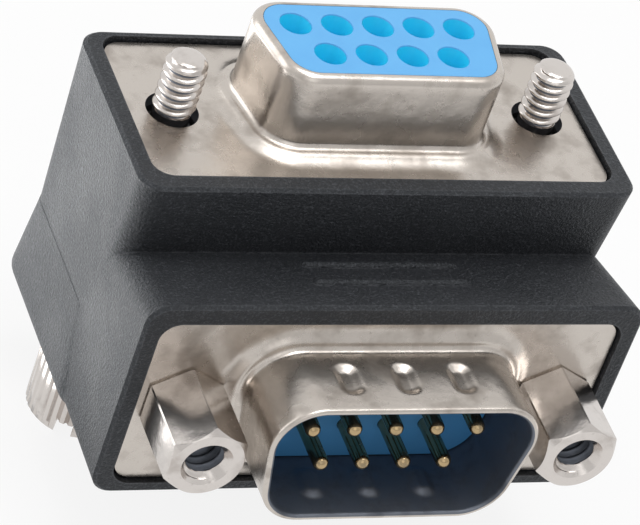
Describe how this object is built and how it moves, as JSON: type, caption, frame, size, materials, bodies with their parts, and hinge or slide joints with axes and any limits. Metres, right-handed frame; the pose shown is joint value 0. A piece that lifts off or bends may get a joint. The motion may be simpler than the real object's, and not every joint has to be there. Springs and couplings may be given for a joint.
{
  "type": "right-angle d-sub adapter",
  "caption": "Right-angle adapter: a D-shaped plug in front and a D-shaped socket on top in one moulded housing, with knurled thumbscrews and hexagon jack nuts.",
  "frame": {"origin": "centre of the plug flange's front face", "axes": "the plug mates along -Y, the socket mates along +Z, and X runs along the rows of contacts"},
  "size_m": [0.0334, 0.0265, 0.0312],
  "materials": {
    "housing": "matte, fine moulded grain",
    "shell": "bright nickel plate",
    "insulator": "satin moulding",
    "contact": "thin gold plate",
    "board": "satin laminate",
    "screw": "nickel plate"
  },
  "bodies": {
    "adapter": {"housing": "housing", "female_shell": "shell", "female_back_shell": "shell", "female_insulator": "insulator", "female_rear_insulator": "insulator", "female_contact_1": "contact", "female_contact_2": "contact", "female_contact_3": "contact", "female_contact_4": "contact", "female_contact_5": "contact", "female_contact_6": "contact", "female_contact_7": "contact", "female_contact_8": "contact", "female_contact_9": "contact", "male_shell": "shell", "male_back_shell": "shell", "male_insulator": "insulator", "male_rear_insulator": "insulator", "male_pin_1": "contact", "male_pin_2": "contact", "male_pin_3": "contact", "male_pin_4": "contact", "male_pin_5": "contact", "male_pin_6": "contact", "male_pin_7": "contact", "male_pin_8": "contact", "male_pin_9": "contact", "circuit_board": "board", "jack_nut_left": "screw", "jack_nut_right": "screw", "lock_nut_left": "screw", "lock_nut_right": "screw"},
    "left_screw": {"thumbscrew_left": "screw"},
    "right_screw": {"thumbscrew_right": "screw"}
  },
  "joints": [
    {"name": "thumbscrew_left_turn", "type": "hinge", "parent": "adapter", "child": "left_screw", "pos_m": [-0.01249, 0.0131, 0], "axis": [0, 0, 1], "continuous": true},
    {"name": "thumbscrew_right_turn", "type": "hinge", "parent": "adapter", "child": "right_screw", "pos_m": [0.01249, 0.0131, 0], "axis": [0, 0, 1], "continuous": true}
  ]
}
